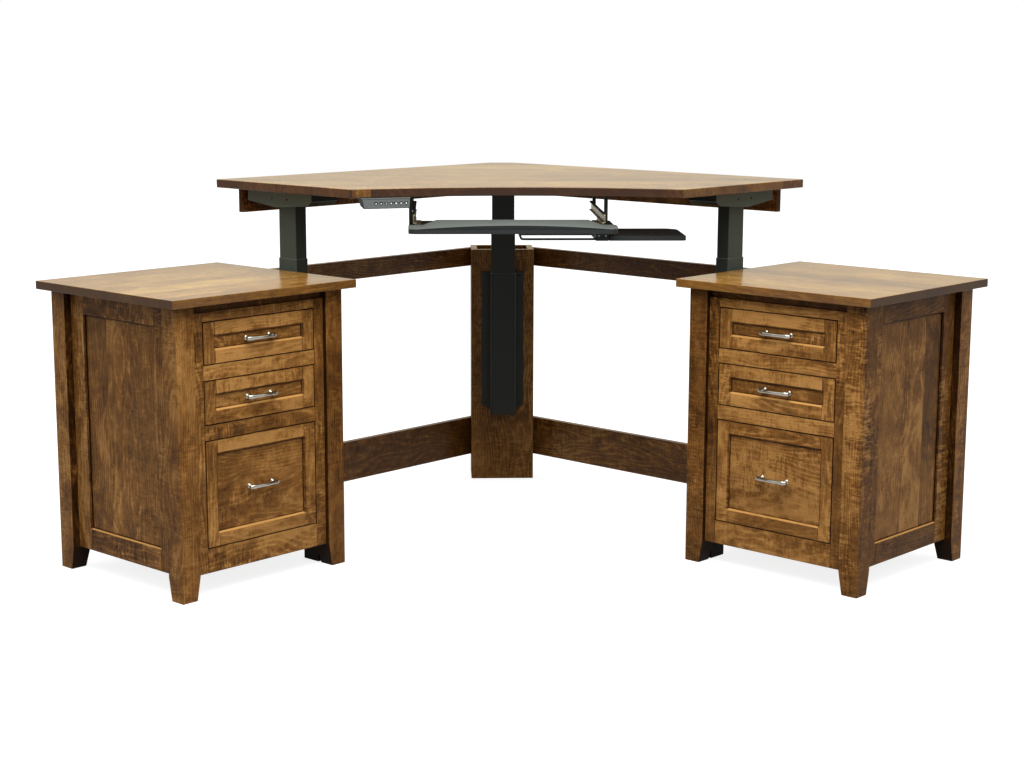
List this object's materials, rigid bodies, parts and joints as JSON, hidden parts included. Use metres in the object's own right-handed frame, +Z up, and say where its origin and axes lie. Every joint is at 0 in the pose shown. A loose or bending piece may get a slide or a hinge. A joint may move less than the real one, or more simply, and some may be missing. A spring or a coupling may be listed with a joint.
{
  "type": "corner standing desk",
  "caption": "Corner sit-stand desk: concave-fronted maple desktop on telescoping steel columns, joined to a corner post and drawer pedestals, with pull-out keyboard tray.",
  "frame": {"origin": "centre of the footprint, on the floor", "axes": "+Z up; the room's walls run along +X and -Y from the back left corner, and the sitter faces the corner along -X +Y"},
  "size_m": [1.788, 1.788, 1.016],
  "materials": {
    "top_maple": "brown-stained maple under satin varnish",
    "frame_maple": "brown-stained maple under satin varnish",
    "front_maple": "brown-stained figured maple under satin varnish",
    "panel_maple": "brown-stained maple boards under satin varnish",
    "post_maple": "dark-stained maple under satin varnish",
    "rail_maple": "dark-stained maple under satin varnish",
    "box_maple": "clear-finished maple",
    "black_steel": "black powder coat, fine texture",
    "motor_housing": "matt black",
    "slide_steel": "zinc-plated steel",
    "zinc_steel": "yellow zinc-plated steel",
    "bright_nickel": "bright nickel plate",
    "control_plastic": "mid-grey moulded plastic",
    "grey_plastic": "grey moulded plastic, satin",
    "dark_plastic": "dark grey moulded plastic"
  },
  "bodies": {
    "cabinet": {"corner_post": "post_maple", "left_rails": "rail_maple", "right_rails": "rail_maple", "left_pedestal_top": "top_maple", "right_pedestal_top": "top_maple", "left_legs": "frame_maple", "right_legs": "frame_maple", "left_face_frame": "frame_maple", "right_face_frame": "frame_maple", "left_side_frames": "frame_maple", "right_side_frames": "frame_maple", "left_panels": "panel_maple", "right_panels": "panel_maple", "left_drawer_slides": "slide_steel", "right_drawer_slides": "slide_steel", "column_boards": "rail_maple", "column_plates": "black_steel", "left_outer_tube": "black_steel", "centre_outer_tube": "black_steel", "right_outer_tube": "black_steel"},
    "desk": {"desktop": "top_maple", "aprons": "frame_maple", "left_inner_tube": "black_steel", "centre_inner_tube": "black_steel", "right_inner_tube": "black_steel", "lifting_heads": "black_steel", "lift_motors": "motor_housing", "hand_control": "control_plastic", "control_box": "motor_housing", "tray_hangers": "black_steel"},
    "tray": {"tray_slides": "zinc_steel", "keyboard_tray": "dark_plastic", "palm_rest": "grey_plastic", "rod_housing": "dark_plastic"},
    "mouse_shelf": {"guide_rods": "black_steel", "mouse_platform": "dark_plastic"},
    "left_middle_stage": {"left_middle_tube": "black_steel"},
    "centre_middle_stage": {"centre_middle_tube": "black_steel"},
    "right_middle_stage": {"right_middle_tube": "black_steel"},
    "left_top_drawer": {"left_top_front": "front_maple", "left_top_box": "box_maple", "left_top_pull": "bright_nickel"},
    "left_middle_drawer": {"left_middle_front": "front_maple", "left_middle_box": "box_maple", "left_middle_pull": "bright_nickel"},
    "left_file_drawer": {"left_file_front": "front_maple", "left_file_box": "box_maple", "left_file_pull": "bright_nickel"},
    "right_top_drawer": {"right_top_front": "front_maple", "right_top_box": "box_maple", "right_top_pull": "bright_nickel"},
    "right_middle_drawer": {"right_middle_front": "front_maple", "right_middle_box": "box_maple", "right_middle_pull": "bright_nickel"},
    "right_file_drawer": {"right_file_front": "front_maple", "right_file_box": "box_maple", "right_file_pull": "bright_nickel"}
  },
  "joints": [
    {"name": "desk_lift", "type": "slide", "parent": "cabinet", "child": "desk", "axis": [0, 0, 1], "range_m": [-0.18, 0.24]},
    {"name": "left_stage_lift", "type": "slide", "parent": "cabinet", "child": "left_middle_stage", "axis": [0, 0, 1], "range_m": [-0.09, 0.12]},
    {"name": "centre_stage_lift", "type": "slide", "parent": "cabinet", "child": "centre_middle_stage", "axis": [0, 0, 1], "range_m": [-0.09, 0.12]},
    {"name": "right_stage_lift", "type": "slide", "parent": "cabinet", "child": "right_middle_stage", "axis": [0, 0, 1], "range_m": [-0.09, 0.12]},
    {"name": "left_top_drawer_slide", "type": "slide", "parent": "cabinet", "child": "left_top_drawer", "axis": [1, 0, 0], "range_m": [0, 0.4]},
    {"name": "left_middle_drawer_slide", "type": "slide", "parent": "cabinet", "child": "left_middle_drawer", "axis": [1, 0, 0], "range_m": [0, 0.4]},
    {"name": "left_file_drawer_slide", "type": "slide", "parent": "cabinet", "child": "left_file_drawer", "axis": [1, 0, 0], "range_m": [0, 0.4]},
    {"name": "right_top_drawer_slide", "type": "slide", "parent": "cabinet", "child": "right_top_drawer", "axis": [0, -1, 0], "range_m": [0, 0.4]},
    {"name": "right_middle_drawer_slide", "type": "slide", "parent": "cabinet", "child": "right_middle_drawer", "axis": [0, -1, 0], "range_m": [0, 0.4]},
    {"name": "right_file_drawer_slide", "type": "slide", "parent": "cabinet", "child": "right_file_drawer", "axis": [0, -1, 0], "range_m": [0, 0.4]},
    {"name": "tray_slide", "type": "slide", "parent": "desk", "child": "tray", "axis": [0.7071, -0.7071, 0], "range_m": [-0.25, 0]},
    {"name": "mouse_slide", "type": "slide", "parent": "tray", "child": "mouse_shelf", "axis": [0.7071, 0.7071, 0], "range_m": [0, 0.1]}
  ],
  "couplings": [
    {"joint": "left_stage_lift", "follows": "desk_lift", "ratio": 0.5},
    {"joint": "centre_stage_lift", "follows": "desk_lift", "ratio": 0.5},
    {"joint": "right_stage_lift", "follows": "desk_lift", "ratio": 0.5}
  ]
}
